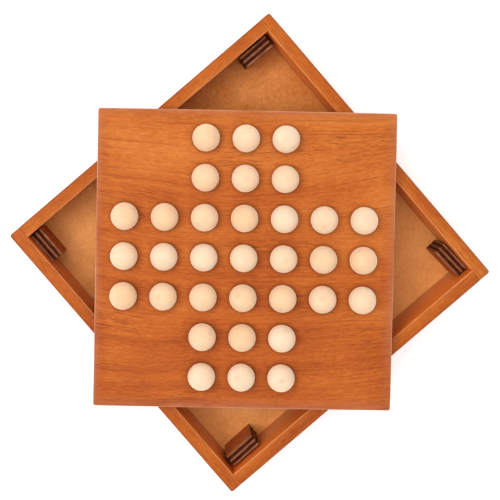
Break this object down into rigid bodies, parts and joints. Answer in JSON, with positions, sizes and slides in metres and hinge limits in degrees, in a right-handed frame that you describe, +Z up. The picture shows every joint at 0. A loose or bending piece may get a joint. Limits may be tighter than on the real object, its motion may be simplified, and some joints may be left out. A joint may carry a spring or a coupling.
{
  "type": "marble solitaire set",
  "caption": "Square wooden marble solitaire board with a cross of cups and loose wooden balls, lying turned on the rim of its open storage tray.",
  "frame": {"origin": "on the table, under the middle of the board, which is the middle of the whole set's bounding box", "axes": "+Z up; X and Y run along the tray's walls, with the two through walls at -X and +X and the tray's middle at X 4.2 mm, Y -0.5 mm; the board lies turned about Z by 41.8 degrees, clockwise from above"},
  "size_m": [0.2304, 0.2304, 0.0606],
  "materials": {
    "board_wood": "satin, reddish stained veneer",
    "tray_wood": "satin, reddish orange stain",
    "panel_wood": "matt, thin fine-textured panel",
    "block_plywood": "dark stained plywood, plies showing on the top edge",
    "ball_wood": "satin, natural pale hardwood",
    "brad_steel": "plain wire"
  },
  "bodies": {
    "tray": {"left_wall": "tray_wood", "right_wall": "tray_wood", "front_wall": "tray_wood", "back_wall": "tray_wood", "floor_panel": "panel_wood", "corner_brads": "brad_steel", "block_back_left": "block_plywood", "block_back_right": "block_plywood", "block_front_right": "block_plywood", "block_front_left": "block_plywood"},
    "board": {"play_board": "board_wood"},
    "ball_row1_col3": {"ball_row1_col3": "ball_wood"},
    "ball_row1_col4": {"ball_row1_col4": "ball_wood"},
    "ball_row1_col5": {"ball_row1_col5": "ball_wood"},
    "ball_row2_col3": {"ball_row2_col3": "ball_wood"},
    "ball_row2_col4": {"ball_row2_col4": "ball_wood"},
    "ball_row2_col5": {"ball_row2_col5": "ball_wood"},
    "ball_row3_col1": {"ball_row3_col1": "ball_wood"},
    "ball_row3_col2": {"ball_row3_col2": "ball_wood"},
    "ball_row3_col3": {"ball_row3_col3": "ball_wood"},
    "ball_row3_col4": {"ball_row3_col4": "ball_wood"},
    "ball_row3_col5": {"ball_row3_col5": "ball_wood"},
    "ball_row3_col6": {"ball_row3_col6": "ball_wood"},
    "ball_row3_col7": {"ball_row3_col7": "ball_wood"},
    "ball_row4_col1": {"ball_row4_col1": "ball_wood"},
    "ball_row4_col2": {"ball_row4_col2": "ball_wood"},
    "ball_row4_col3": {"ball_row4_col3": "ball_wood"},
    "ball_row4_col4": {"ball_row4_col4": "ball_wood"},
    "ball_row4_col5": {"ball_row4_col5": "ball_wood"},
    "ball_row4_col6": {"ball_row4_col6": "ball_wood"},
    "ball_row4_col7": {"ball_row4_col7": "ball_wood"},
    "ball_row5_col1": {"ball_row5_col1": "ball_wood"},
    "ball_row5_col2": {"ball_row5_col2": "ball_wood"},
    "ball_row5_col3": {"ball_row5_col3": "ball_wood"},
    "ball_row5_col4": {"ball_row5_col4": "ball_wood"},
    "ball_row5_col5": {"ball_row5_col5": "ball_wood"},
    "ball_row5_col6": {"ball_row5_col6": "ball_wood"},
    "ball_row5_col7": {"ball_row5_col7": "ball_wood"},
    "ball_row6_col3": {"ball_row6_col3": "ball_wood"},
    "ball_row6_col4": {"ball_row6_col4": "ball_wood"},
    "ball_row6_col5": {"ball_row6_col5": "ball_wood"},
    "ball_row7_col3": {"ball_row7_col3": "ball_wood"},
    "ball_row7_col4": {"ball_row7_col4": "ball_wood"},
    "ball_row7_col5": {"ball_row7_col5": "ball_wood"}
  },
  "joints": [
    {"name": "board_lift", "type": "slide", "parent": "tray", "child": "board", "axis": [0, 0, 1], "range_m": [0, 0.06]},
    {"name": "ball_row1_col3_lift", "type": "slide", "parent": "board", "child": "ball_row1_col3", "axis": [0, 0, 1], "range_m": [0, 0.03]},
    {"name": "ball_row1_col4_lift", "type": "slide", "parent": "board", "child": "ball_row1_col4", "axis": [0, 0, 1], "range_m": [0, 0.03]},
    {"name": "ball_row1_col5_lift", "type": "slide", "parent": "board", "child": "ball_row1_col5", "axis": [0, 0, 1], "range_m": [0, 0.03]},
    {"name": "ball_row2_col3_lift", "type": "slide", "parent": "board", "child": "ball_row2_col3", "axis": [0, 0, 1], "range_m": [0, 0.03]},
    {"name": "ball_row2_col4_lift", "type": "slide", "parent": "board", "child": "ball_row2_col4", "axis": [0, 0, 1], "range_m": [0, 0.03]},
    {"name": "ball_row2_col5_lift", "type": "slide", "parent": "board", "child": "ball_row2_col5", "axis": [0, 0, 1], "range_m": [0, 0.03]},
    {"name": "ball_row3_col1_lift", "type": "slide", "parent": "board", "child": "ball_row3_col1", "axis": [0, 0, 1], "range_m": [0, 0.03]},
    {"name": "ball_row3_col2_lift", "type": "slide", "parent": "board", "child": "ball_row3_col2", "axis": [0, 0, 1], "range_m": [0, 0.03]},
    {"name": "ball_row3_col3_lift", "type": "slide", "parent": "board", "child": "ball_row3_col3", "axis": [0, 0, 1], "range_m": [0, 0.03]},
    {"name": "ball_row3_col4_lift", "type": "slide", "parent": "board", "child": "ball_row3_col4", "axis": [0, 0, 1], "range_m": [0, 0.03]},
    {"name": "ball_row3_col5_lift", "type": "slide", "parent": "board", "child": "ball_row3_col5", "axis": [0, 0, 1], "range_m": [0, 0.03]},
    {"name": "ball_row3_col6_lift", "type": "slide", "parent": "board", "child": "ball_row3_col6", "axis": [0, 0, 1], "range_m": [0, 0.03]},
    {"name": "ball_row3_col7_lift", "type": "slide", "parent": "board", "child": "ball_row3_col7", "axis": [0, 0, 1], "range_m": [0, 0.03]},
    {"name": "ball_row4_col1_lift", "type": "slide", "parent": "board", "child": "ball_row4_col1", "axis": [0, 0, 1], "range_m": [0, 0.03]},
    {"name": "ball_row4_col2_lift", "type": "slide", "parent": "board", "child": "ball_row4_col2", "axis": [0, 0, 1], "range_m": [0, 0.03]},
    {"name": "ball_row4_col3_lift", "type": "slide", "parent": "board", "child": "ball_row4_col3", "axis": [0, 0, 1], "range_m": [0, 0.03]},
    {"name": "ball_row4_col4_lift", "type": "slide", "parent": "board", "child": "ball_row4_col4", "axis": [0, 0, 1], "range_m": [0, 0.03]},
    {"name": "ball_row4_col5_lift", "type": "slide", "parent": "board", "child": "ball_row4_col5", "axis": [0, 0, 1], "range_m": [0, 0.03]},
    {"name": "ball_row4_col6_lift", "type": "slide", "parent": "board", "child": "ball_row4_col6", "axis": [0, 0, 1], "range_m": [0, 0.03]},
    {"name": "ball_row4_col7_lift", "type": "slide", "parent": "board", "child": "ball_row4_col7", "axis": [0, 0, 1], "range_m": [0, 0.03]},
    {"name": "ball_row5_col1_lift", "type": "slide", "parent": "board", "child": "ball_row5_col1", "axis": [0, 0, 1], "range_m": [0, 0.03]},
    {"name": "ball_row5_col2_lift", "type": "slide", "parent": "board", "child": "ball_row5_col2", "axis": [0, 0, 1], "range_m": [0, 0.03]},
    {"name": "ball_row5_col3_lift", "type": "slide", "parent": "board", "child": "ball_row5_col3", "axis": [0, 0, 1], "range_m": [0, 0.03]},
    {"name": "ball_row5_col4_lift", "type": "slide", "parent": "board", "child": "ball_row5_col4", "axis": [0, 0, 1], "range_m": [0, 0.03]},
    {"name": "ball_row5_col5_lift", "type": "slide", "parent": "board", "child": "ball_row5_col5", "axis": [0, 0, 1], "range_m": [0, 0.03]},
    {"name": "ball_row5_col6_lift", "type": "slide", "parent": "board", "child": "ball_row5_col6", "axis": [0, 0, 1], "range_m": [0, 0.03]},
    {"name": "ball_row5_col7_lift", "type": "slide", "parent": "board", "child": "ball_row5_col7", "axis": [0, 0, 1], "range_m": [0, 0.03]},
    {"name": "ball_row6_col3_lift", "type": "slide", "parent": "board", "child": "ball_row6_col3", "axis": [0, 0, 1], "range_m": [0, 0.03]},
    {"name": "ball_row6_col4_lift", "type": "slide", "parent": "board", "child": "ball_row6_col4", "axis": [0, 0, 1], "range_m": [0, 0.03]},
    {"name": "ball_row6_col5_lift", "type": "slide", "parent": "board", "child": "ball_row6_col5", "axis": [0, 0, 1], "range_m": [0, 0.03]},
    {"name": "ball_row7_col3_lift", "type": "slide", "parent": "board", "child": "ball_row7_col3", "axis": [0, 0, 1], "range_m": [0, 0.03]},
    {"name": "ball_row7_col4_lift", "type": "slide", "parent": "board", "child": "ball_row7_col4", "axis": [0, 0, 1], "range_m": [0, 0.03]},
    {"name": "ball_row7_col5_lift", "type": "slide", "parent": "board", "child": "ball_row7_col5", "axis": [0, 0, 1], "range_m": [0, 0.03]}
  ]
}
